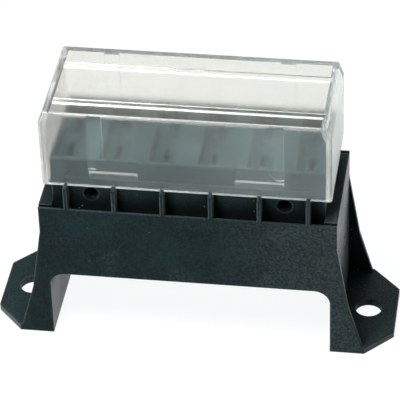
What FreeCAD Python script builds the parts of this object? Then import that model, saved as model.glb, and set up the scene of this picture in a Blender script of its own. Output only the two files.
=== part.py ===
import FreeCAD, Part
import math
import os

# Six-way blade fuse box: a moulded black housing on two feet, twelve tinned blade terminals
# pushed up into it from below, and a clear snap-on cover. Millimetres, +Z up.
# The origin is at the middle of the footprint, on the plane that the feet stand on.
# X runs along the row of fuses, and -Y is the front.

# The blade fuse that the box takes
WAYS = 6
FUSE_PITCH = 9.7
FUSE_LENGTH = 19.1
FUSE_THICKNESS = 5.1
BLADE_SPACING = 9.7
BLADE_SLOT_LENGTH = 5.8
BLADE_SLOT_WIDTH = 1.0
BLADE_LEAD_IN = 0.4
FUSE_CLEARANCE = 0.1

# Core: the tall block that holds the terminals
CORE_RISE = 5.8
CORE_RECESS = 1.0
SEAT_DEPTH = 2.2
SEAT_FLOOR = 1.2
SEAT_END_WALL = 0.5
SEAT_SIDE_WALL = 0.75
CORE_CORNER_RADIUS = 0.4
CORE_LEAD_IN = 0.3
CAVITY_LENGTH = 7.6
CAVITY_WIDTH = 3.6
CORE_HOLE_DIAMETER = 3.1
CORE_HOLE_DEPTH = 5.0
CORE_HOLE_DROP = 2.8
LINE_RISE = 1.25
LINE_WIDTH = 0.5
LINE_DEPTH = 0.25

# Skirt of the housing
RIM_HEIGHT = 32.2
ARCH_HEIGHT = 15.4
ARCH_RADIUS = 3.2
SHOULDER_WIDTH = 2.6
SHOULDER_THICKNESS = 1.6
END_WALL = 1.4
SIDE_WALL = 1.1
SIDE_GAP = 1.4
FIN_THICKNESS = 0.8
FIN_RISE = 5.2
EDGE_RADIUS = 0.25
RIM_BEVEL = 0.75

# Feet
GUSSET_DROP = 6.2
KNEE_HEIGHT = 11.6
KNEE_REACH = 2.3
FOOT_REACH = 5.6
EAR_THICKNESS = 1.6
EAR_REACH = 11.2
EAR_NOSE_WIDTH = 13.9
EAR_CORNER_RADIUS = 0.6
SCREW_HOLE_DIAMETER = 5.5
SCREW_REACH = 5.35

# Cover
COVER_END_GAP = 0.3
COVER_SIDE_GAP = 0.5
COVER_SIDE_WALL = 0.95
COVER_END_WALL = 1.2
COVER_ROOF = 1.2
COVER_HEIGHT = 17.4
BEVEL_RUN = 1.0
BEVEL_DROP = 2.6
COVER_EDGE_RADIUS = 0.6
ROOF_RIB_WIDTH = 1.2
ROOF_RIB_DEPTH = 0.7
ROOF_RIB_RADIUS = 0.3
ROOF_RIB_SPACING = 12.6
SNAP_LENGTH = 9.7
SNAP_REACH = 0.7
SNAP_FALL = 1.3
SNAP_BELOW_CORE_TOP = 2.8
SNAP_CLEARANCE = 0.1
GUIDE_WIDTH = 3.0
GUIDE_REACH = 0.5
GUIDE_ABOVE_SNAP = 0.9

# Terminal: one strip, a tab below and two spring leaves above
TAB_WIDTH = 6.3
TAB_THICKNESS = 0.8
TAB_DROP = 3.0
TAB_CORNER = 1.1
TAB_HOLE_DIAMETER = 1.7
TAB_HOLE_RISE = 3.6
BARB_REACH = 0.35
BARB_HEIGHT = 2.0
BARB_CLEARANCE = 0.1
BARB_BELOW_SEAT = 11.3
LEAF_WIDTH = 5.2
LEAF_ROOT = 1.0
LEAF_THICKNESS = 0.4
LEAF_ROOT_RADIUS = 1.6
LEAF_BELLY_RADIUS = 3.2
LEAF_MOUTH_RADIUS = 1.2
LEAF_OUT_ANGLE = 30.0
LEAF_IN_ANGLE = -20.0
LEAF_FLARE_ANGLE = 25.0
LEAF_RUN = 0.7
LEAF_TIP = 0.8

# How close two heights have to be to count as the same
NEAR = 0.01

# Sizes that follow from the ones above
way_x = [(way - (WAYS - 1) / 2) * FUSE_PITCH for way in range(WAYS)]
core_half_x = way_x[-1] + FUSE_THICKNESS / 2 + FUSE_CLEARANCE + SEAT_END_WALL
core_half_y = FUSE_LENGTH / 2 + FUSE_CLEARANCE + SEAT_SIDE_WALL
core_bottom = ARCH_HEIGHT + CORE_RECESS
fin_top = RIM_HEIGHT + FIN_RISE
core_top = fin_top + CORE_RISE
seat_z = core_top - SEAT_DEPTH
cavity_top = seat_z - SEAT_FLOOR
housing_half_x = core_half_x + SHOULDER_WIDTH
side_inner_y = core_half_y + SIDE_GAP
housing_half_y = side_inner_y + SIDE_WALL
leg_inner_x = housing_half_x - END_WALL
snap_x = way_x[-1] - FUSE_PITCH
snap_z = core_top - SNAP_BELOW_CORE_TOP
core_hole_x = snap_x + FUSE_PITCH / 2
snap_channel = SNAP_REACH - COVER_SIDE_GAP + SNAP_CLEARANCE
barb_z = seat_z - BARB_BELOW_SEAT


def vec(x, y, z):
    return FreeCAD.Vector(x, y, z)


def block(x0, x1, y0, y1, z0, z1):
    """A box between two corners."""
    return Part.makeBox(x1 - x0, y1 - y0, z1 - z0, vec(x0, y0, z0))


def mirrored_x(shape):
    """The same shape at the other end."""
    return shape.mirror(vec(0, 0, 0), vec(1, 0, 0))


def mirrored_y(shape):
    """The same shape on the other side, front or back."""
    return shape.mirror(vec(0, 0, 0), vec(0, 1, 0))


def plate_xz(points, y0, y1):
    """A straight-edged plate, drawn in the XZ plane and carried from y0 to y1."""
    corners = [vec(x, y0, z) for x, z in points]
    face = Part.Face(Part.makePolygon(corners + corners[:1]))
    return face.extrude(vec(0, y1 - y0, 0))


def plate_xy(points, z0, z1):
    """A straight-edged plate, drawn in the XY plane and carried from z0 to z1."""
    corners = [vec(x, y, z0) for x, y in points]
    face = Part.Face(Part.makePolygon(corners + corners[:1]))
    return face.extrude(vec(0, 0, z1 - z0))


def rectangle(x, y, z, half_x, half_y):
    """A level rectangle about a point."""
    corners = [
        vec(x - half_x, y - half_y, z),
        vec(x + half_x, y - half_y, z),
        vec(x + half_x, y + half_y, z),
        vec(x - half_x, y + half_y, z),
    ]
    return Part.makePolygon(corners + corners[:1])


def edges_where(shape, test):
    """Edges whose two ends both pass the test."""
    return [e for e in shape.Edges if len(e.Vertexes) == 2 and all(test(v.Point) for v in e.Vertexes)]


# Housing


def side_wall():
    """Front wall: straight above with a bevel inside the rim, an arch below, and edges that flare
    down to the feet."""
    half = [
        (housing_half_x, RIM_HEIGHT),
        (housing_half_x, RIM_HEIGHT - GUSSET_DROP),
        (housing_half_x + KNEE_REACH, KNEE_HEIGHT),
        (housing_half_x + FOOT_REACH, 0),
        (leg_inner_x, 0),
        (leg_inner_x, ARCH_HEIGHT),
    ]
    outline = half + [(-x, z) for x, z in reversed(half)]
    wall = plate_xz(outline, -housing_half_y, -side_inner_y)
    arch_top = edges_where(wall, lambda p: abs(p.z - ARCH_HEIGHT) < NEAR)
    arch_corners = [e for e in arch_top if e.Length < 2 * SIDE_WALL]
    wall = wall.makeFillet(ARCH_RADIUS, arch_corners)
    rim = edges_where(wall, lambda p: abs(p.z - RIM_HEIGHT) < NEAR and abs(p.y + side_inner_y) < NEAR)
    wall = wall.makeChamfer(RIM_BEVEL, rim)
    outer = edges_where(wall, lambda p: abs(p.y + housing_half_y) < NEAR)
    raised = [e for e in outer if e.BoundBox.ZMax > NEAR]
    return wall.makeFillet(EDGE_RADIUS, raised)


def end_wall():
    """Right end: the leg's wall, and the shoulder that closes it over to the core."""
    leg = block(leg_inner_x, housing_half_x, -side_inner_y, side_inner_y, 0, RIM_HEIGHT)
    under = RIM_HEIGHT - SHOULDER_THICKNESS
    shoulder = block(core_half_x, housing_half_x, -side_inner_y, side_inner_y, under, RIM_HEIGHT)
    return leg.fuse(shoulder)


def ear():
    """Right foot plate with its screw hole."""
    toe = housing_half_x + FOOT_REACH
    nose = housing_half_x + EAR_REACH
    nose_y = EAR_NOSE_WIDTH / 2
    outline = [
        (leg_inner_x, -housing_half_y),
        (toe, -housing_half_y),
        (nose, -nose_y),
        (nose, nose_y),
        (toe, housing_half_y),
        (leg_inner_x, housing_half_y),
    ]
    plate = plate_xy(outline, 0, EAR_THICKNESS)
    corners = edges_where(plate, lambda p: abs(p.x - nose) < NEAR)
    plate = plate.makeFillet(EAR_CORNER_RADIUS, [e for e in corners if e.Length < EAR_NOSE_WIDTH / 2])
    upper = edges_where(plate, lambda p: p.x > toe - NEAR and abs(p.z - EAR_THICKNESS) < NEAR)
    plate = plate.makeFillet(EDGE_RADIUS, [e for e in upper if e.BoundBox.XMax > toe + NEAR])
    hole_foot = vec(housing_half_x + SCREW_REACH, 0, 0)
    hole = Part.makeCylinder(SCREW_HOLE_DIAMETER / 2, EAR_THICKNESS, hole_foot, vec(0, 0, 1))
    return plate.cut(hole)


def core_block():
    core = block(-core_half_x, core_half_x, -core_half_y, core_half_y, core_bottom, core_top)
    uprights = [e for e in core.Edges if abs(e.Length - (core_top - core_bottom)) < NEAR]
    core = core.makeFillet(CORE_CORNER_RADIUS, uprights)
    rim = edges_where(core, lambda p: abs(p.z - core_top) < NEAR)
    return core.makeChamfer(CORE_LEAD_IN, rim)


def fins():
    """One fin at each way, front and back, from the core to the side wall. They carry the cover."""
    half = FIN_THICKNESS / 2
    front = []
    for x in way_x:
        front.append(block(x - half, x + half, -housing_half_y, -core_half_y, core_bottom, fin_top))
    return front + [mirrored_y(fin) for fin in front]


def terminal_cavity(x, y):
    """Cavity open below, the groove for the terminal's barbs, and the blade slot above."""
    half_x, half_y = CAVITY_WIDTH / 2, CAVITY_LENGTH / 2
    cavity = block(x - half_x, x + half_x, y - half_y, y + half_y, core_bottom, cavity_top)
    barb_x = TAB_THICKNESS / 2 + BARB_CLEARANCE
    barb_y = half_y + BARB_REACH + BARB_CLEARANCE
    groove_top = barb_z + BARB_HEIGHT + BARB_CLEARANCE
    groove = block(x - barb_x, x + barb_x, y - barb_y, y + barb_y, barb_z, groove_top)
    slot_x, slot_y = BLADE_SLOT_WIDTH / 2, BLADE_SLOT_LENGTH / 2
    slot = block(x - slot_x, x + slot_x, y - slot_y, y + slot_y, cavity_top, seat_z)
    narrow = rectangle(x, y, seat_z - BLADE_LEAD_IN, slot_x, slot_y)
    wide = rectangle(x, y, seat_z, slot_x + BLADE_LEAD_IN, slot_y + BLADE_LEAD_IN)
    mouth = Part.makeLoft([narrow, wide], True)
    return [cavity, groove, slot, mouth]


def fuse_seat(x):
    half_x = FUSE_THICKNESS / 2 + FUSE_CLEARANCE
    half_y = FUSE_LENGTH / 2 + FUSE_CLEARANCE
    return block(x - half_x, x + half_x, -half_y, half_y, seat_z, core_top)


def front_recesses():
    """Cuts in the core's front face: round holes, snap channels and the line above the fins."""
    face_y = -core_half_y
    cuts = []
    for x in (-core_hole_x, core_hole_x):
        start = vec(x, face_y, fin_top - CORE_HOLE_DROP)
        cuts.append(Part.makeCylinder(CORE_HOLE_DIAMETER / 2, CORE_HOLE_DEPTH, start, vec(0, 1, 0)))
    half = SNAP_LENGTH / 2 + SNAP_CLEARANCE
    foot = snap_z - SNAP_FALL - SNAP_CLEARANCE
    for x in (-snap_x, snap_x):
        cuts.append(block(x - half, x + half, face_y, face_y + snap_channel, foot, core_top))
    line_z = fin_top + LINE_RISE
    line_back = face_y + LINE_DEPTH
    cuts.append(block(way_x[0], way_x[-1], face_y, line_back, line_z, line_z + LINE_WIDTH))
    return cuts


def housing():
    front = side_wall()
    right = end_wall().fuse(ear())
    solids = [front, mirrored_y(front), right, mirrored_x(right)] + fins()
    body = core_block().multiFuse(solids)
    cuts = []
    for x in way_x:
        cuts.append(fuse_seat(x))
        for y in (-BLADE_SPACING / 2, BLADE_SPACING / 2):
            cuts.extend(terminal_cavity(x, y))
    recesses = front_recesses()
    cuts.extend(recesses + [mirrored_y(cut) for cut in recesses])
    return body.cut(Part.makeCompound(cuts)).removeSplitter()


# Cover


def cover_shape(half_x, half_y, z0, z1):
    """A closed box whose two short top edges are bevelled."""
    outline = [
        (-half_x, z0),
        (half_x, z0),
        (half_x, z1 - BEVEL_DROP),
        (half_x - BEVEL_RUN, z1),
        (-half_x + BEVEL_RUN, z1),
        (-half_x, z1 - BEVEL_DROP),
    ]
    return plate_xz(outline, -half_y, half_y)


def snap_and_guide(x, inner_y, roof_z):
    """On the front wall's inner face: the snap ledge, and the guide above it up to the roof."""
    in_wall = -inner_y - COVER_SIDE_WALL / 2
    profile = [
        (in_wall, snap_z),
        (-inner_y + SNAP_REACH, snap_z),
        (-inner_y, snap_z - SNAP_FALL),
        (in_wall, snap_z - SNAP_FALL),
    ]
    corners = [vec(x - SNAP_LENGTH / 2, y, z) for y, z in profile]
    ledge = Part.Face(Part.makePolygon(corners + corners[:1])).extrude(vec(SNAP_LENGTH, 0, 0))
    outer = x + math.copysign(SNAP_LENGTH / 2, x)
    inner = outer - math.copysign(GUIDE_WIDTH, x)
    middle = (outer + inner) / 2
    foot = snap_z + GUIDE_ABOVE_SNAP
    outline = [
        (outer, roof_z),
        (outer, foot),
        (middle, foot),
        (inner, foot + GUIDE_WIDTH / 2),
        (inner, roof_z),
    ]
    guide = plate_xz(outline, in_wall, -inner_y + GUIDE_REACH)
    return [ledge, guide]


def roof_rib(half_x, y, roof_under):
    """A flat rib with rounded edges under the roof, from one end wall to the other."""
    half = ROOF_RIB_WIDTH / 2
    foot = roof_under - ROOF_RIB_DEPTH
    rib = block(-half_x, half_x, y - half, y + half, foot, roof_under + COVER_ROOF / 2)
    lower = edges_where(rib, lambda p: abs(p.z - foot) < NEAR)
    long_edges = [e for e in lower if e.Length > ROOF_RIB_WIDTH + NEAR]
    return rib.makeFillet(ROOF_RIB_RADIUS, long_edges)


def cover():
    inner_x, inner_y = core_half_x + COVER_END_GAP, core_half_y + COVER_SIDE_GAP
    outer_x, outer_y = inner_x + COVER_END_WALL, inner_y + COVER_SIDE_WALL
    top = fin_top + COVER_HEIGHT
    shell = cover_shape(outer_x, outer_y, fin_top, top)
    upper = [e for e in shell.Edges if max(v.Z for v in e.Vertexes) > fin_top + NEAR]
    shell = shell.makeFillet(COVER_EDGE_RADIUS, upper)
    roof_under = top - COVER_ROOF
    shell = shell.cut(cover_shape(inner_x, inner_y, fin_top, roof_under))
    features = []
    for y in (-ROOF_RIB_SPACING / 2, ROOF_RIB_SPACING / 2):
        features.append(roof_rib(inner_x, y, roof_under))
    for x in (-snap_x, snap_x):
        pair = snap_and_guide(x, inner_y, top - COVER_ROOF / 2)
        features.extend(pair + [mirrored_y(piece) for piece in pair])
    return shell.multiFuse(features).removeSplitter()


# Terminal


def bent_strip(x, z, moves, width):
    """A strip of even thickness bent in the XZ plane. Each move is a radius, 0 for straight, and
    either the heading it turns to or the length it runs. Headings are degrees from straight up,
    positive outwards."""
    half = LEAF_THICKNESS / 2
    heading = 0.0
    pieces = []
    for radius, value in moves:
        angle = math.radians(heading)
        if radius == 0:
            run = vec(math.sin(angle), 0, math.cos(angle)) * value
            side = vec(math.cos(angle), 0, -math.sin(angle)) * half
            start = vec(x, -width / 2, z)
            corners = [start - side, start + side, start + side + run, start - side + run]
            face = Part.Face(Part.makePolygon(corners + corners[:1]))
            x, z = x + run.x, z + run.z
        else:
            turn = math.copysign(1, value - heading)
            end = math.radians(value)
            centre_x = x + turn * radius * math.cos(angle)
            centre_z = z - turn * radius * math.sin(angle)

            def on_arc(reach, at):
                across = turn * reach * math.cos(at)
                along = turn * reach * math.sin(at)
                return vec(centre_x - across, -width / 2, centre_z + along)

            def arc(reach):
                points = [on_arc(reach, at) for at in (angle, (angle + end) / 2, end)]
                return Part.Arc(*points).toShape()

            inside, outside = radius - half, radius + half
            near_end = Part.makeLine(on_arc(inside, angle), on_arc(outside, angle))
            far_end = Part.makeLine(on_arc(inside, end), on_arc(outside, end))
            face = Part.Face(Part.Wire([arc(inside), far_end, arc(outside), near_end]))
            finish = on_arc(radius, end)
            x, z, heading = finish.x, finish.z, value
        pieces.append(face.extrude(vec(0, width, 0)))
    return pieces[0].multiFuse(pieces[1:])


def terminal():
    """Terminal on its own axis. Its barbs stand on the floor of the groove in the cavity."""
    half_x = TAB_THICKNESS / 2
    tab_half = TAB_WIDTH / 2
    foot = core_bottom - TAB_DROP
    barb_half = CAVITY_LENGTH / 2 + BARB_REACH
    leaf_half = LEAF_WIDTH / 2
    barb_top = barb_z + BARB_HEIGHT
    root_z = barb_top + LEAF_ROOT
    outline = [
        (tab_half - TAB_CORNER, foot),
        (tab_half, foot + TAB_CORNER),
        (tab_half, barb_z),
        (barb_half, barb_z),
        (barb_half, barb_z + BARB_HEIGHT / 2),
        (tab_half, barb_top),
        (leaf_half, barb_top),
        (leaf_half, root_z),
    ]
    outline = outline + [(-y, z) for y, z in reversed(outline)]
    corners = [vec(-half_x, y, z) for y, z in outline]
    blank = Part.Face(Part.makePolygon(corners + corners[:1])).extrude(vec(TAB_THICKNESS, 0, 0))
    hole_start = vec(-half_x, 0, foot + TAB_HOLE_RISE)
    hole = Part.makeCylinder(TAB_HOLE_DIAMETER / 2, TAB_THICKNESS, hole_start, vec(1, 0, 0))
    moves = [
        (LEAF_ROOT_RADIUS, LEAF_OUT_ANGLE),
        (LEAF_BELLY_RADIUS, LEAF_IN_ANGLE),
        (0, LEAF_RUN),
        (LEAF_MOUTH_RADIUS, LEAF_FLARE_ANGLE),
        (0, LEAF_TIP),
    ]
    leaf = bent_strip(LEAF_THICKNESS / 2, root_z, moves, LEAF_WIDTH)
    return blank.cut(hole).multiFuse([leaf, mirrored_x(leaf)]).removeSplitter()


def save(shape, node):
    shape.exportStep("parts/" + node + ".step")
    box = shape.BoundBox
    print(node, len(shape.Solids), "solid", shape.isValid(), round(shape.Volume, 2), "mm3")
    print("  x", round(box.XMin, 2), round(box.XMax, 2), "y", round(box.YMin, 2), round(box.YMax, 2))
    print("  z", round(box.ZMin, 2), round(box.ZMax, 2))


os.makedirs("parts", exist_ok=True)
save(housing(), "housing")
save(cover(), "cover")
one_terminal = terminal()
for row, side in (("front", -1), ("back", 1)):
    for number, x in enumerate(way_x, start=1):
        placed = one_terminal.copy()
        placed.translate(vec(x, side * BLADE_SPACING / 2, 0))
        save(placed, "terminal_" + row + "_" + str(number))
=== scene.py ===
import math

import bpy
from bpy.props import FloatProperty, FloatVectorProperty, PointerProperty
from bpy.types import Operator, Panel, PropertyGroup
from mathutils import Matrix, Vector

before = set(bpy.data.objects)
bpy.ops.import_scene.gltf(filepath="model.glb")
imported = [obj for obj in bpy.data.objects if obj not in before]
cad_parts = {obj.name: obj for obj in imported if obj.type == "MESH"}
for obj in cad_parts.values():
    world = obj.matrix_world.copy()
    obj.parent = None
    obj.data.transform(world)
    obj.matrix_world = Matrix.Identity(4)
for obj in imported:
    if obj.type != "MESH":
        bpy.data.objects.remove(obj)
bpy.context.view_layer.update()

bl_info = {
    "name": "Blade fuse box",
    "version": (1, 0, 0),
    "blender": (4, 5, 0),
    "location": "3D View > Sidebar > Fuse box",
    "description": "Finishes of a blade fuse box with a clear cover, and its studio stage",
    "category": "Object",
}

COVER_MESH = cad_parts["cover"].data
TERMINAL_NODES = sorted(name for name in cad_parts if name.startswith("terminal_"))

# The photograph's view of the object, in millimetres and degrees
VIEW_AZIMUTH = 9.507
VIEW_ELEVATION = 37.161
VIEW_ROLL = -2.076
VIEW_DISTANCE = 552.89
VIEW_UP = 21.306
FOCAL_PIXELS = 2642.9
PICTURE_PIXELS = 400.0
SENSOR_WIDTH = 36.0
MILLIMETRE = 0.001

# Lamps, in metres: a small one high at the front left, and a broad one far above
KEY_SIZE = 0.05
KEY_PLACE = (-0.045, -0.075, 0.155)
FILL_SIZE = 0.35
FILL_PLACE = (-0.06, 0.04, 0.42)
LAMP_TARGET = (0.0, 0.0, 0.02)

# Strength of the floor's own glow, and its share of what the camera sees
FLOOR_GLOW = 1.10
GLOW_SHARE = 0.88

# Soft borders of the masks, and how far the slow changes along the row reach, in metres
SOFT = 0.0002
HALF_SOFT = SOFT / 2
FINE_SOFT = SOFT / 4
SHADE_SOFT = 0.0005
ROW_REACH = 0.028

# The cover, in metres: its foot, the underside of its roof and the inside of its long walls
ROOF_THICKNESS = 0.0012
SIDE_WALL_THICKNESS = 0.00095
COVER_FOOT = min(vertex.co.z for vertex in COVER_MESH.vertices)
ROOF_UNDER = max(vertex.co.z for vertex in COVER_MESH.vertices) - ROOF_THICKNESS
COVER_INSIDE = max(vertex.co.y for vertex in COVER_MESH.vertices) - SIDE_WALL_THICKNESS

# Just below the roof's ribs, and where across the roof its dust and painted shade begin behind the
# front edge
RIB_DEPTH = 0.0007
RIBS_FROM = ROOF_UNDER - RIB_DEPTH - HALF_SOFT
DUST_BEGINS = (-0.0095, -0.0085)

# Snap ledges inside the long walls: their ends along the row, their top, and their bright marks
LEDGE_INNER = 0.0097
LEDGE_OUTER = 0.0194
LEDGE_TOP = 0.0404
LEDGE_LINE = 0.00018
LEDGE_LINE_SOFT = 0.00004
LEDGE_END_WIDTH = 0.00025
LEDGE_END_FALL = 0.0007

# Frosted pads above the ledges: their face, their top and the slanted border of their brighter band
PAD_FACE = 0.0104
PAD_TOP = 0.0525
BAND_FROM = 0.0273
BAND_LEAN = 0.22
BAND_SOFT = 0.0003

# The housing, in metres: top of the ears, outside of the end walls, a place between the two faces
# of the long walls, and where along them the rubbed part begins
EAR_TOP = 0.0016
END_WALL_OUTSIDE = 0.0300
IN_LONG_WALL = 0.0120
RUBBED_FROM = 0.004

# Range that most values of a fine noise and of a slow noise keep to
FINE_NOISE = (0.35, 0.65)
SLOW_NOISE = (0.3, 0.7)

# Colours of dust specks, of painted shade and painted glints in the recesses, of painted highlights on
# the cover, and of light through the cover
SPECK_COLOUR = (0.20, 0.22, 0.22)
RECESS_SHADE_COLOUR = (0.0006, 0.0010, 0.0012)
GLINT_COLOUR = (0.70, 0.62, 0.50)
HIGHLIGHT_COLOUR = (0.86, 0.88, 0.87)
PASSED_LIGHT = (0.93, 0.94, 0.93)
WHITE = (1.0, 1.0, 1.0)


class HousingSettings(PropertyGroup):
    """Black moulded plastic of the housing."""

    colour: FloatVectorProperty(
        name="Plastic colour",
        description="Colour of the moulded plastic",
        subtype="COLOR",
        size=3,
        min=0.0,
        max=1.0,
        default=(0.0036, 0.0124, 0.0138),
    )
    # Also the colour of the painted highlights on edges and of the painted light on the long walls and
    # ears
    scuff_and_highlight_colour: FloatVectorProperty(
        name="Scuff colour",
        description="Colour of worn edges and rubbed marks",
        subtype="COLOR",
        size=3,
        min=0.0,
        max=1.0,
        default=(0.095, 0.125, 0.130),
    )
    roughness: FloatProperty(
        name="Roughness",
        description="How matte the plastic is",
        subtype="FACTOR",
        min=0.0,
        max=1.0,
        default=0.30,
    )
    edge_radius: FloatProperty(
        name="Edge radius",
        description="How softly the moulded edges catch the light",
        subtype="DISTANCE",
        unit="LENGTH",
        min=0.0,
        default=0.00050,
    )
    dust_colour: FloatVectorProperty(
        name="Dust colour",
        description="Colour of the fine dust on upward faces",
        subtype="COLOR",
        size=3,
        min=0.0,
        max=1.0,
        default=(0.22, 0.29, 0.30),
    )


class CoverSettings(PropertyGroup):
    """Clear plastic of the cover."""

    colour: FloatVectorProperty(
        name="Clear plastic colour",
        description="Tint of the clear plastic",
        subtype="COLOR",
        size=3,
        min=0.0,
        max=1.0,
        default=(0.926, 0.919, 0.888),
    )
    roughness: FloatProperty(
        name="Roughness",
        description="How much the clear plastic blurs what is behind it",
        subtype="FACTOR",
        min=0.0,
        max=1.0,
        default=0.20,
    )
    haze_colour: FloatVectorProperty(
        name="Haze colour",
        description="Colour of the slight milkiness that shows against dark parts",
        subtype="COLOR",
        size=3,
        min=0.0,
        max=1.0,
        default=(0.68, 0.84, 0.86),
    )
    haze: FloatProperty(
        name="Haze",
        description="Share of the light that the plastic scatters",
        subtype="FACTOR",
        min=0.0,
        max=1.0,
        default=0.038,
    )
    dust_colour: FloatVectorProperty(
        name="Dust colour",
        description="Colour of the fine dust on the roof",
        subtype="COLOR",
        size=3,
        min=0.0,
        max=1.0,
        default=(0.34, 0.345, 0.315),
    )
    dust: FloatProperty(
        name="Dust",
        description="How much fine dust lies on the roof",
        subtype="FACTOR",
        min=0.0,
        max=1.0,
        default=0.025,
    )


class TerminalSettings(PropertyGroup):
    """Tin plate of the terminals."""

    colour: FloatVectorProperty(
        name="Tin colour",
        description="Colour of the tin plate",
        subtype="COLOR",
        size=3,
        min=0.0,
        max=1.0,
        default=(0.66, 0.64, 0.60),
    )
    brass_colour: FloatVectorProperty(
        name="Brass colour",
        description="Colour of the bare brass at sheared edges",
        subtype="COLOR",
        size=3,
        min=0.0,
        max=1.0,
        default=(0.62, 0.42, 0.17),
    )
    roughness: FloatProperty(
        name="Roughness",
        description="How dull the tin plate is",
        subtype="FACTOR",
        min=0.0,
        max=1.0,
        default=0.34,
    )


class StageSettings(PropertyGroup):
    """Floor, lights and surroundings."""

    floor_size: FloatProperty(
        name="Floor size",
        description="Side length of the floor",
        subtype="DISTANCE",
        unit="LENGTH",
        min=0.1,
        default=4.0,
    )
    floor_colour: FloatVectorProperty(
        name="Floor colour",
        description="Colour of the floor",
        subtype="COLOR",
        size=3,
        min=0.0,
        max=1.0,
        default=(0.95, 0.96, 0.965),
    )
    key_power: FloatProperty(
        name="Key light power",
        description="Power of the small lamp high at the front left",
        subtype="POWER",
        unit="POWER",
        min=0.0,
        default=0.25,
    )
    fill_power: FloatProperty(
        name="Fill light power",
        description="Power of the broad lamp far above",
        subtype="POWER",
        unit="POWER",
        min=0.0,
        default=1.10,
    )
    surroundings: FloatProperty(
        name="Surroundings",
        description="Strength of the light from all round",
        min=0.0,
        default=0.10,
    )


class FuseBoxSettings(PropertyGroup):
    """All settings of the fuse box scene."""

    housing: PointerProperty(type=HousingSettings, name="Housing", description="Black plastic")
    cover: PointerProperty(type=CoverSettings, name="Cover", description="Clear plastic")
    terminals: PointerProperty(type=TerminalSettings, name="Terminals", description="Tin plate")
    stage: PointerProperty(type=StageSettings, name="Stage", description="Floor and lights")


# Building blocks for node trees


def feed(tree, socket, value):
    """Gives a socket a number, a colour, or what another socket puts out."""
    if isinstance(value, bpy.types.NodeSocket):
        tree.links.new(value, socket)
    elif isinstance(value, tuple):
        socket.default_value = (*value, 1.0)
    else:
        socket.default_value = value


def add_node(tree, kind, **inputs):
    """A new node with the inputs that are named, underscores standing for spaces."""
    node = tree.nodes.new(kind)
    for name, value in inputs.items():
        feed(tree, node.inputs[name.replace("_", " ")], value)
    return node


def scalar(tree, operation, first, second=0.0):
    """What a math node puts out for one or two sockets or numbers."""
    node = tree.nodes.new("ShaderNodeMath")
    node.operation = operation
    feed(tree, node.inputs[0], first)
    feed(tree, node.inputs[1], second)
    return node.outputs["Value"]


def product(tree, first, *others):
    """Several sockets or numbers multiplied."""
    for other in others:
        first = scalar(tree, "MULTIPLY", first, other)
    return first


def ramp_between(tree, value, low, high, out_low=0.0, out_high=1.0):
    """A value carried from one range to another, and held at its ends."""
    node = add_node(
        tree,
        "ShaderNodeMapRange",
        Value=value,
        From_Min=low,
        From_Max=high,
        To_Min=out_low,
        To_Max=out_high,
    )
    return node.outputs["Result"]


def between(tree, value, low, high, soft):
    """One between two values, with soft limits."""
    rises = ramp_between(tree, value, low - soft, low + soft)
    falls = ramp_between(tree, value, high - soft, high + soft, 1.0, 0.0)
    return product(tree, rises, falls)


def mix_colours(tree, mask, first, second):
    """A colour between two colours or colour sockets, by a mask."""
    node = tree.nodes.new("ShaderNodeMix")
    node.data_type = "RGBA"
    feed(tree, node.inputs["Factor"], mask)
    colours = [socket for socket in node.inputs if socket.type == "RGBA"]
    feed(tree, colours[0], first)
    feed(tree, colours[1], second)
    return [socket for socket in node.outputs if socket.type == "RGBA"][0]


def mix_shaders(tree, share, first, second):
    """Two shaders mixed, by the share of the second one."""
    node = add_node(tree, "ShaderNodeMixShader", Fac=share)
    feed(tree, node.inputs[1], first)
    feed(tree, node.inputs[2], second)
    return node.outputs["Shader"]


def times(colour, factor):
    """A colour made darker or paler."""
    return tuple(channel * factor for channel in colour)


def absolute(tree, value):
    """A value without its sign."""
    return scalar(tree, "ABSOLUTE", value)


def object_vector(tree):
    """A point's place on the object, as one vector."""
    return tree.nodes.new("ShaderNodeTexCoord").outputs["Object"]


def object_place(tree):
    """A point's X, Y and Z on the object, in metres."""
    split = add_node(tree, "ShaderNodeSeparateXYZ", Vector=object_vector(tree))
    return split.outputs["X"], split.outputs["Y"], split.outputs["Z"]


def wall_place(tree):
    """A point's distance from the middle along the row, its distance across it, and its height."""
    x, y, z = object_place(tree)
    return absolute(tree, x), absolute(tree, y), z


def surface_facing(tree):
    """The X, Y and Z of the way that the surface faces."""
    surface = tree.nodes.new("ShaderNodeNewGeometry")
    split = add_node(tree, "ShaderNodeSeparateXYZ", Vector=surface.outputs["Normal"])
    return split.outputs["X"], split.outputs["Y"], split.outputs["Z"]


def noise(tree, scale, detail, roughness):
    """The value of a noise that stays in place on the object."""
    node = add_node(
        tree,
        "ShaderNodeTexNoise",
        Vector=object_vector(tree),
        Scale=scale,
        Detail=detail,
        Roughness=roughness,
    )
    return node.outputs["Fac"]


def bumped_normal(tree, distance, strength, **inputs):
    """The normal that a bump node puts out, from its Height and, where there is one, its Normal."""
    node = add_node(tree, "ShaderNodeBump", Distance=distance, Strength=strength, **inputs)
    return node.outputs["Normal"]


def empty_tree(owner):
    """The node tree of a material or a world, with nothing in it."""
    owner.use_nodes = True
    owner.node_tree.nodes.clear()
    return owner.node_tree


def new_material(name):
    """A material, its tree and the one Principled shader in it."""
    material = bpy.data.materials.new(name)
    tree = empty_tree(material)
    return material, tree, tree.nodes.new("ShaderNodeBsdfPrincipled")


# Shared effects, each a node group


def new_group(name, inputs, outputs):
    """A shader node group with named sockets, and its input and output nodes."""
    group = bpy.data.node_groups.new(name, "ShaderNodeTree")
    for label, value in inputs.items():
        socket = group.interface.new_socket(label, in_out="INPUT", socket_type="NodeSocketFloat")
        socket.default_value = value
    for label, kind in outputs.items():
        group.interface.new_socket(label, in_out="OUTPUT", socket_type=kind)
    return group, group.nodes.new("NodeGroupInput"), group.nodes.new("NodeGroupOutput")


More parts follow.
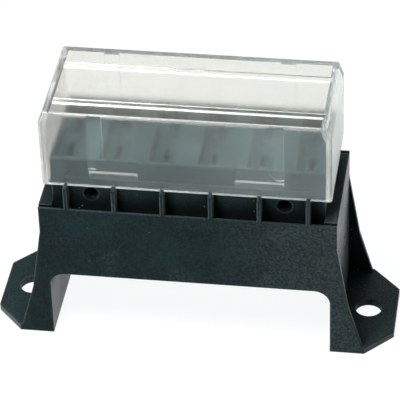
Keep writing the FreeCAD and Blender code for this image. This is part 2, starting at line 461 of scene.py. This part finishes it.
def place_group(tree, build, **inputs):
    """The group that a function builds, made the first time it is needed and placed in a tree."""
    name = build.__name__
    node = tree.nodes.new("ShaderNodeGroup")
    node.node_tree = bpy.data.node_groups.get(name) or build(name)
    for label, value in inputs.items():
        feed(tree, node.inputs[label.replace("_", " ")], value)
    return node


def moulded_grain(name):
    """Fine grain and slow unevenness of a moulded or stamped surface, as a height and two masks."""
    group, given, result = new_group(
        name,
        {"Grain Scale": 2600.0, "Wave Scale": 90.0, "Wave Share": 0.5},
        {"Height": "NodeSocketFloat", "Grain": "NodeSocketFloat", "Mask": "NodeSocketFloat"},
    )
    grain = noise(group, given.outputs["Grain Scale"], 3.0, 0.6)
    wave = noise(group, given.outputs["Wave Scale"], 2.0, 0.5)
    height = scalar(group, "ADD", grain, product(group, wave, given.outputs["Wave Share"]))
    feed(group, result.inputs["Height"], height)
    feed(group, result.inputs["Grain"], grain)
    feed(group, result.inputs["Mask"], wave)
    return group


def edge_mask(name):
    """One at the edges of a part and none on its flats, with the rounded normal there."""
    group, given, result = new_group(
        name,
        {"Strength": 2.0, "Radius": 0.0003},
        {"Mask": "NodeSocketFloat", "Normal": "NodeSocketVector"},
    )
    bevel = add_node(group, "ShaderNodeBevel", Radius=given.outputs["Radius"])
    bevel.samples = 6
    surface = group.nodes.new("ShaderNodeNewGeometry")
    dot = group.nodes.new("ShaderNodeVectorMath")
    dot.operation = "DOT_PRODUCT"
    feed(group, dot.inputs[0], bevel.outputs["Normal"])
    feed(group, dot.inputs[1], surface.outputs["Normal"])
    bend = scalar(group, "SUBTRACT", 1.0, dot.outputs["Value"])
    mask = scalar(group, "MINIMUM", product(group, bend, given.outputs["Strength"]), 1.0)
    feed(group, result.inputs["Mask"], mask)
    feed(group, result.inputs["Normal"], bevel.outputs["Normal"])
    return group


def dust_and_scuffs(name):
    """Sparse pale specks, and short rubbed marks in patches."""
    group, given, result = new_group(
        name,
        {"Speck Scale": 800.0, "Scuff Amount": 0.5},
        {"Specks": "NodeSocketFloat", "Scuffs": "NodeSocketFloat"},
    )
    cells = add_node(
        group, "ShaderNodeTexVoronoi", Vector=object_vector(group), Scale=given.outputs["Speck Scale"]
    )
    colours = add_node(group, "ShaderNodeSeparateColor", Color=cells.outputs["Color"])
    dots = ramp_between(group, cells.outputs["Distance"], 0.05, 0.11, 1.0, 0.0)
    chosen = ramp_between(group, colours.outputs["Red"], 0.90, 0.92)
    feed(group, result.inputs["Specks"], product(group, dots, chosen))
    patches = ramp_between(group, noise(group, 110.0, 0.0, 0.4), 0.60, 0.80)
    broken = ramp_between(group, noise(group, 2600.0, 3.0, 0.6), 0.35, 0.75)
    scuffs = product(group, patches, broken, given.outputs["Scuff Amount"])
    feed(group, result.inputs["Scuffs"], scuffs)
    return group


def settled_dust(name):
    """Fine dust that lies on upward faces in soft patches."""
    group, given, result = new_group(name, {"Amount": 0.1}, {"Mask": "NodeSocketFloat"})
    upward = ramp_between(group, surface_facing(group)[2], 0.80, 0.97)
    slow = ramp_between(group, noise(group, 150.0, 3.0, 0.5), *SLOW_NOISE, 0.6, 1.4)
    fine = ramp_between(group, noise(group, 2600.0, 2.0, 0.6), *FINE_NOISE, 0.4, 1.6)
    mask = product(group, slow, fine, given.outputs["Amount"], upward)
    feed(group, result.inputs["Mask"], mask)
    return group


# Black plastic of the housing


def by_shelter(tree, under_cover, in_the_open):
    """One value above the cover's foot, where the cover shades the housing, and another below it."""
    height = object_place(tree)[2]
    top = COVER_FOOT - SOFT
    return ramp_between(tree, height, top - SHADE_SOFT, top, in_the_open, under_cover)


def lit_rubbed_walls(tree):
    """The outer faces of the long walls, paler towards the right: painted light, with some real rub
    marks.
    """
    x, y = object_place(tree)[:2]
    facing_across = absolute(tree, surface_facing(tree)[1])
    rightward = ramp_between(tree, x, RUBBED_FROM, ROW_REACH)
    long_side = ramp_between(tree, facing_across, 0.85, 0.97)
    outer_face = ramp_between(tree, absolute(tree, y), IN_LONG_WALL - SOFT, IN_LONG_WALL + SOFT)
    return product(tree, rightward, long_side, outer_face)


def lit_ears(tree):
    """Painted light on the slanting sides of both ears, and on a little of the right ear's top."""
    x, height = object_place(tree)[::2]
    facing_y, facing_z = surface_facing(tree)[1:]
    ends = (END_WALL_OUTSIDE, END_WALL_OUTSIDE + 2 * SOFT)
    low = ramp_between(tree, height, EAR_TOP, EAR_TOP + SOFT, 4.0, 0.0)
    either_end = ramp_between(tree, absolute(tree, x), *ends)
    upright = ramp_between(tree, absolute(tree, facing_z), 0.2, 0.4, 1.0, 0.0)
    slanting = ramp_between(tree, absolute(tree, facing_y), 0.97, 0.99, 1.0, 0.0)
    sides = product(tree, low, either_end, upright, slanting)
    upward = ramp_between(tree, facing_z, 0.9, 0.98, 0.0, 0.12)
    top = product(tree, low, ramp_between(tree, x, *ends), upward)
    return scalar(tree, "ADD", sides, top)


def mottled_black(tree, grain, base):
    """The plastic's own colour, darker and paler with its grain and its slow unevenness."""
    fine = ramp_between(tree, grain.outputs["Grain"], *FINE_NOISE)
    slow = ramp_between(tree, grain.outputs["Mask"], *SLOW_NOISE, -0.25, 0.25)
    return mix_colours(tree, scalar(tree, "ADD", fine, slow), times(base, 0.4), times(base, 1.6))


def with_wear_and_highlights(tree, colour, grain, edges, settings):
    """A colour with painted highlights on edges, scuffs, painted light on places with rub marks, specks
    and fine dust.
    """
    scuff_and_highlight_colour = tuple(settings.scuff_and_highlight_colour)
    dust = place_group(tree, dust_and_scuffs, Scuff_Amount=0.45)
    settled = place_group(tree, settled_dust, Amount=0.03)
    # Painted highlights: edges made paler, much less where the cover shades the housing
    highlit = product(tree, edges.outputs["Mask"], by_shelter(tree, 0.1, 0.85))
    speckled = ramp_between(tree, grain.outputs["Grain"], *FINE_NOISE, 0.1, 0.65)
    # Painted light on the long walls and the ears' sides, broken up by the grain like rub marks
    places = scalar(tree, "ADD", lit_rubbed_walls(tree), lit_ears(tree))
    rubbed_and_lit = scalar(tree, "MINIMUM", product(tree, places, speckled), 1.0)
    specks = product(tree, dust.outputs["Specks"], 0.5)
    layers = (
        (highlit, scuff_and_highlight_colour),
        (dust.outputs["Scuffs"], scuff_and_highlight_colour),
        (rubbed_and_lit, times(scuff_and_highlight_colour, 0.55)),
        (specks, SPECK_COLOUR),
        (settled.outputs["Mask"], tuple(settings.dust_colour)),
    )
    for mask, layer_colour in layers:
        colour = mix_colours(tree, mask, colour, layer_colour)
    return colour


def shaded_recesses(tree):
    """Painted shade in the hollows and deep corners of the housing, none where the cover shelters it.
    """
    openness = add_node(tree, "ShaderNodeAmbientOcclusion", Distance=0.007)
    openness.samples = 6
    openness.only_local = True
    deep = ramp_between(tree, openness.outputs["AO"], 0.55, 0.97, 0.95, 0.0)
    return product(tree, deep, by_shelter(tree, 0.0, 1.0))


def with_recess_shade(tree, colour, recess):
    """A colour with painted shade in the recesses, and pale specks in that shade as painted glints."""
    # Painted glints: pale warm specks in the recesses
    glint_specks = place_group(tree, dust_and_scuffs, Speck_Scale=1500.0)
    glints = scalar(tree, "MINIMUM", product(tree, glint_specks.outputs["Specks"], recess, 2.5), 1.0)
    # Painted shade: recesses darkened almost to black
    shaded = mix_colours(tree, recess, colour, RECESS_SHADE_COLOUR)
    return mix_colours(tree, glints, shaded, GLINT_COLOUR)


def black_plastic(settings):
    """Satin black moulding: fine grain, painted highlights on edges, painted light on places with rub
    marks, painted shade and painted glints in recesses.
    """
    material, tree, shader = new_material("black_moulded_plastic")
    shader.inputs["Specular IOR Level"].default_value = 0.11
    shader.inputs["Specular Tint"].default_value = (0.75, 0.98, 1.0, 1.0)
    shader.inputs["Sheen Weight"].default_value = 0.10
    shader.inputs["Sheen Roughness"].default_value = 0.40
    shader.inputs["Sheen Tint"].default_value = (0.80, 0.95, 1.0, 1.0)
    grain = place_group(tree, moulded_grain)
    edges = place_group(tree, edge_mask, Strength=4.5, Radius=settings.edge_radius)
    recess = shaded_recesses(tree)
    plain = mottled_black(tree, grain, tuple(settings.colour))
    colour = with_recess_shade(tree, with_wear_and_highlights(tree, plain, grain, edges, settings), recess)
    feed(tree, shader.inputs["Base Color"], colour)
    least, most = settings.roughness - 0.05, settings.roughness + 0.06
    rough = ramp_between(tree, grain.outputs["Mask"], *SLOW_NOISE, least, most)
    rougher = scalar(tree, "ADD", product(tree, recess, 0.55), by_shelter(tree, 0.35, 0.0))
    feed(tree, shader.inputs["Roughness"], scalar(tree, "ADD", rough, rougher))
    grain_height, edge_normal = grain.outputs["Height"], edges.outputs["Normal"]
    bumped = bumped_normal(tree, 0.00006, 0.7, Height=grain_height, Normal=edge_normal)
    feed(tree, shader.inputs["Normal"], bumped)
    add_node(tree, "ShaderNodeOutputMaterial", Surface=shader.outputs["BSDF"])
    return material


# Clear plastic of the cover


def along_row(tree, at_left, at_right):
    """A value that changes evenly from the left end of the cover to the right one."""
    x = object_place(tree)[0]
    return ramp_between(tree, x, -ROW_REACH, ROW_REACH, at_left, at_right)


def pad_mask(tree):
    """The frosted pads inside the long walls, above the snap ledges, and their brighter outer bands."""
    along, across, height = wall_place(tree)
    in_walls = ramp_between(tree, across, PAD_FACE - SOFT, PAD_FACE)
    width = between(tree, along, LEDGE_INNER, LEDGE_OUTER, HALF_SOFT)
    pad = product(tree, width, between(tree, height, LEDGE_TOP, PAD_TOP, HALF_SOFT))
    leaning = scalar(tree, "ADD", along, product(tree, height, BAND_LEAN))
    in_band = ramp_between(tree, leaning, BAND_FROM - BAND_SOFT, BAND_FROM + BAND_SOFT)
    both = scalar(tree, "ADD", product(tree, pad, 0.6), product(tree, pad, in_band))
    return product(tree, both, in_walls)


def painted_highlights(tree):
    """Painted highlights as bright lines: the cover's foot, and the tops and ends of its snap ledges.
    """
    along, across, height = wall_place(tree)
    foot = ramp_between(tree, height, COVER_FOOT + HALF_SOFT, COVER_FOOT + 2 * SOFT, 1.0, 0.0)
    width = between(tree, along, LEDGE_INNER, LEDGE_OUTER, FINE_SOFT)
    line = between(tree, height, LEDGE_TOP - LEDGE_LINE, LEDGE_TOP + FINE_SOFT, LEDGE_LINE_SOFT)
    fall = between(tree, height, LEDGE_TOP - LEDGE_END_FALL, LEDGE_TOP, HALF_SOFT)
    inner_end = between(tree, along, LEDGE_INNER, LEDGE_INNER + LEDGE_END_WIDTH, FINE_SOFT)
    outer_end = between(tree, along, LEDGE_OUTER - LEDGE_END_WIDTH, LEDGE_OUTER, FINE_SOFT)
    ends = product(tree, scalar(tree, "ADD", inner_end, outer_end), fall)
    marks = scalar(tree, "MAXIMUM", product(tree, width, line), ends)
    inside = ramp_between(tree, across, COVER_INSIDE, COVER_INSIDE + SOFT, 1.0, 0.0)
    return scalar(tree, "MAXIMUM", product(tree, foot, 0.5), product(tree, marks, inside))


def roof_mask(tree):
    """The cover's roof with its ribs, without the outer faces of the walls beside it."""
    across, height = wall_place(tree)[1:]
    high = ramp_between(tree, height, RIBS_FROM - 2 * SOFT, RIBS_FROM)
    level = ramp_between(tree, absolute(tree, surface_facing(tree)[2]), 0.6, 0.8)
    within = ramp_between(tree, across, PAD_FACE - 2 * SOFT, PAD_FACE, 1.0, 0.0)
    return product(tree, high, scalar(tree, "MAXIMUM", level, within))


def milk_colour(tree, on_roof, settled, highlights, settings):
    """Colour of what scatters the light: haze, paler at the painted highlights, and dust on the roof.
    """
    haze = mix_colours(tree, highlights, tuple(settings.haze_colour), HIGHLIGHT_COLOUR)
    dusty = ramp_between(tree, settled.outputs["Mask"], 0.0, settings.dust * 0.5)
    return mix_colours(tree, product(tree, on_roof, dusty), haze, tuple(settings.dust_colour))


def milk_share(tree, on_roof, grain, dust, settled, highlights, settings):
    """How much of the plastic's light is scattered: haze, thicker towards the right as painted light,
    pads, specks, painted highlights on edges, and dust with painted shade towards the left.
    """
    speckle = noise(tree, 1200.0, 1.0, 0.5)
    blend = product(tree, scalar(tree, "ADD", grain.outputs["Mask"], speckle), 0.5)
    spread = ramp_between(tree, blend, *FINE_NOISE, settings.haze * 0.6, settings.haze * 1.4)
    less_on_roof = ramp_between(tree, on_roof, 0.0, 1.0, 1.0, 0.45)
    # Haze thicker towards the right: painted light
    share = product(tree, spread, along_row(tree, 0.25, 1.7), less_on_roof)
    added = ((pad_mask(tree), 0.014), (dust.outputs["Specks"], 0.4), (dust.outputs["Scuffs"], 0.012))
    for mask, strength in added:
        share = scalar(tree, "ADD", share, product(tree, mask, strength))
    # Painted highlights: more haze at the cover's edges and at the foot and ledge lines
    edges = place_group(tree, edge_mask, Strength=1.5, Radius=0.00025)
    for mask, strength in ((edges.outputs["Mask"], 0.09), (highlights, 0.14)):
        share = scalar(tree, "MAXIMUM", share, product(tree, mask, strength))
    # Dust on the roof, much more towards the left: partly painted shade
    behind_front = ramp_between(tree, object_place(tree)[1], *DUST_BEGINS, 0.1, 1.0)
    dust_and_shade = product(tree, settled.outputs["Mask"], on_roof, along_row(tree, 1.9, 0.15), behind_front)
    return scalar(tree, "ADD", share, dust_and_shade)


def clear_plastic(settings):
    """Clear moulding with a slight haze. Light from the lamps passes it, so the inside is lit."""
    material, tree, shader = new_material("clear_moulded_plastic")
    shader.inputs["Transmission Weight"].default_value = 1.0
    shader.inputs["IOR"].default_value = 1.36
    shader.inputs["Base Color"].default_value = (*settings.colour, 1.0)
    dust = place_group(tree, dust_and_scuffs, Scuff_Amount=0.4)
    grain = place_group(tree, moulded_grain, Grain_Scale=700.0, Wave_Scale=60.0)
    settled = place_group(tree, settled_dust, Amount=settings.dust)
    on_roof = roof_mask(tree)
    highlights = painted_highlights(tree)
    least, most = settings.roughness, settings.roughness + 0.04
    rough = ramp_between(tree, dust.outputs["Scuffs"], 0.0, 1.0, least, most)
    clearer_roof = ramp_between(tree, on_roof, 0.0, 1.0, 0.04, -0.04)
    feed(tree, shader.inputs["Roughness"], scalar(tree, "ADD", rough, clearer_roof))
    bumped = bumped_normal(tree, 0.00002, 0.1, Height=grain.outputs["Height"])
    feed(tree, shader.inputs["Normal"], bumped)
    colour = milk_colour(tree, on_roof, settled, highlights, settings)
    milk = add_node(tree, "ShaderNodeBsdfDiffuse", Color=colour)
    share = milk_share(tree, on_roof, grain, dust, settled, highlights, settings)
    hazy = mix_shaders(tree, share, shader.outputs["BSDF"], milk.outputs["BSDF"])
    rays = tree.nodes.new("ShaderNodeLightPath")
    passing = add_node(tree, "ShaderNodeBsdfTransparent", Color=PASSED_LIGHT)
    both = mix_shaders(tree, rays.outputs["Is Shadow Ray"], hazy, passing.outputs["BSDF"])
    add_node(tree, "ShaderNodeOutputMaterial", Surface=both)
    return material


# Tin plate of the terminals


def tin_plate(settings):
    """Dull tin over brass, with brass showing at sheared edges."""
    material, tree, shader = new_material("tin_plated_brass")
    shader.inputs["Metallic"].default_value = 1.0
    grain = place_group(tree, moulded_grain, Wave_Scale=300.0)
    edges = place_group(tree, edge_mask, Strength=1.2)
    base = tuple(settings.colour)
    uneven = mix_colours(tree, grain.outputs["Mask"], times(base, 0.8), base)
    colour = mix_colours(tree, edges.outputs["Mask"], uneven, tuple(settings.brass_colour))
    feed(tree, shader.inputs["Base Color"], colour)
    least, most = settings.roughness - 0.08, settings.roughness + 0.1
    rough = ramp_between(tree, grain.outputs["Mask"], *SLOW_NOISE, least, most)
    feed(tree, shader.inputs["Roughness"], rough)
    bumped = bumped_normal(tree, 0.00002, 0.3, Height=grain.outputs["Height"])
    feed(tree, shader.inputs["Normal"], bumped)
    add_node(tree, "ShaderNodeOutputMaterial", Surface=shader.outputs["BSDF"])
    return material


# Stage


def view_axes():
    """The photograph's directions: towards the camera, to the right and up in the picture."""
    azimuth = math.radians(VIEW_AZIMUTH)
    elevation = math.radians(VIEW_ELEVATION)
    roll = math.radians(VIEW_ROLL)
    level = Vector((math.cos(azimuth), math.sin(azimuth), 0.0))
    forward = Vector((math.sin(azimuth), -math.cos(azimuth), 0.0))
    towards = forward * math.cos(elevation) + Vector((0.0, 0.0, math.sin(elevation)))
    upright = towards.cross(level)
    right = level * math.cos(roll) + upright * math.sin(roll)
    up = upright * math.cos(roll) - level * math.sin(roll)
    return towards, right, up


def place_camera():
    """The camera where the photograph was taken from, with its field of view."""
    towards, right, up = view_axes()
    data = bpy.data.cameras.new("camera")
    data.sensor_width = SENSOR_WIDTH
    data.lens = FOCAL_PIXELS / PICTURE_PIXELS * SENSOR_WIDTH
    data.clip_start = 0.01
    data.clip_end = 20.0
    camera = bpy.data.objects.new("camera", data)
    bpy.context.scene.collection.objects.link(camera)
    axes = Matrix((right, up, towards)).transposed()
    place = (towards * VIEW_DISTANCE + up * VIEW_UP) * MILLIMETRE
    camera.matrix_world = Matrix.Translation(place) @ axes.to_4x4()
    bpy.context.scene.camera = camera


def place_lamp(name, power, size, place):
    """A round soft lamp that faces the object."""
    data = bpy.data.lights.new(name, "AREA")
    data.shape = "DISK"
    data.size = size
    data.energy = power
    lamp = bpy.data.objects.new(name, data)
    bpy.context.scene.collection.objects.link(lamp)
    lamp.location = place
    backward = Vector(place) - Vector(LAMP_TARGET)
    lamp.rotation_euler = backward.to_track_quat("Z", "Y").to_euler()


def seen_rays(tree, mirrored_share, through_share):
    """One for rays that end in the picture straight, and a share for those by reflection or glass."""
    rays = tree.nodes.new("ShaderNodeLightPath")
    mirrored = product(tree, rays.outputs["Is Glossy Ray"], mirrored_share)
    through = product(tree, rays.outputs["Is Transmission Ray"], through_share)
    bent = scalar(tree, "MAXIMUM", mirrored, through)
    return scalar(tree, "MAXIMUM", rays.outputs["Is Camera Ray"], bent)


def pale_floor(settings):
    """Plain floor that keeps the object's shadow and looks white to the camera."""
    colour = tuple(settings.floor_colour)
    material = bpy.data.materials.new("pale_floor")
    tree = empty_tree(material)
    matt = add_node(tree, "ShaderNodeBsdfDiffuse", Color=colour)
    glow = add_node(tree, "ShaderNodeEmission", Color=colour, Strength=FLOOR_GLOW)
    share = product(tree, seen_rays(tree, 1.0, 0.5), GLOW_SHARE)
    both = mix_shaders(tree, share, matt.outputs["BSDF"], glow.outputs["Emission"])
    add_node(tree, "ShaderNodeOutputMaterial", Surface=both)
    return material


def white_surroundings(settings):
    """Surroundings that look white to the camera and give the object a weak even light."""
    world = bpy.data.worlds.new("surroundings")
    bpy.context.scene.world = world
    tree = empty_tree(world)
    strength = ramp_between(tree, seen_rays(tree, 0.5, 1.0), 0.0, 1.0, settings.surroundings, 1.0)
    background = add_node(tree, "ShaderNodeBackground", Color=WHITE, Strength=strength)
    add_node(tree, "ShaderNodeOutputWorld", Surface=background.outputs["Background"])


# Steps


def give_material(node_name, material):
    """Puts a material in a CAD node's slots."""
    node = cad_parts[node_name]
    if not node.data.materials:
        node.data.materials.append(material)
    for index in range(len(node.data.materials)):
        node.data.materials[index] = material


class FUSEBOX_OT_housing(Operator):
    """Give the moulded housing its satin black finish"""

    bl_idname = "fusebox.housing"
    bl_label = "Finish the housing"

    def execute(self, context):
        material = black_plastic(context.scene.fuse_box.housing)
        give_material("housing", material)
        return {"FINISHED"}


class FUSEBOX_OT_cover(Operator):
    """Give the cover its clear plastic"""

    bl_idname = "fusebox.cover"
    bl_label = "Finish the cover"

    def execute(self, context):
        material = clear_plastic(context.scene.fuse_box.cover)
        give_material("cover", material)
        return {"FINISHED"}


class FUSEBOX_OT_terminals(Operator):
    """Give the spring terminals their tin plate"""

    bl_idname = "fusebox.terminals"
    bl_label = "Finish the terminals"

    def execute(self, context):
        material = tin_plate(context.scene.fuse_box.terminals)
        for name in TERMINAL_NODES:
            give_material(name, material)
        return {"FINISHED"}


class FUSEBOX_OT_stage(Operator):
    """Set up the floor, the lights, the surroundings and the camera"""

    bl_idname = "fusebox.stage"
    bl_label = "Set the stage"

    def execute(self, context):
        settings = context.scene.fuse_box.stage
        half = settings.floor_size / 2
        mesh = bpy.data.meshes.new("floor")
        corners = [(-half, -half, 0.0), (half, -half, 0.0), (half, half, 0.0), (-half, half, 0.0)]
        mesh.from_pydata(corners, [], [(0, 1, 2, 3)])
        mesh.materials.append(pale_floor(settings))
        floor = bpy.data.objects.new("floor", mesh)
        bpy.context.scene.collection.objects.link(floor)
        white_surroundings(settings)
        place_lamp("key_lamp", settings.key_power, KEY_SIZE, KEY_PLACE)
        place_lamp("fill_lamp", settings.fill_power, FILL_SIZE, FILL_PLACE)
        place_camera()
        context.scene.view_settings.view_transform = "Standard"
        return {"FINISHED"}


class FUSEBOX_PT_sidebar(Panel):
    """Steps and settings of the fuse box"""

    bl_label = "Fuse box"
    bl_idname = "FUSEBOX_PT_sidebar"
    bl_space_type = "VIEW_3D"
    bl_region_type = "UI"
    bl_category = "Fuse box"

    def draw(self, context):
        settings = context.scene.fuse_box
        for step in STEPS:
            self.layout.operator(step.bl_idname)
        for group in (settings.housing, settings.cover, settings.terminals, settings.stage):
            box = self.layout.box()
            for name in group.__annotations__:
                box.prop(group, name)


SETTINGS = (HousingSettings, CoverSettings, TerminalSettings, StageSettings, FuseBoxSettings)
STEPS = (FUSEBOX_OT_housing, FUSEBOX_OT_cover, FUSEBOX_OT_terminals, FUSEBOX_OT_stage)
CLASSES = (*SETTINGS, *STEPS, FUSEBOX_PT_sidebar)


def register():
    """Makes the classes and the scene's settings known to Blender."""
    for cls in CLASSES:
        bpy.utils.register_class(cls)
    bpy.types.Scene.fuse_box = PointerProperty(type=FuseBoxSettings)


def unregister():
    """Takes back what register made known."""
    del bpy.types.Scene.fuse_box
    for cls in reversed(CLASSES):
        bpy.utils.unregister_class(cls)


def main():
    """Takes the steps in order."""
    register()
    for step in STEPS:
        group, name = step.bl_idname.split(".")
        getattr(getattr(bpy.ops, group), name)()


if __name__ == "__main__":
    main()
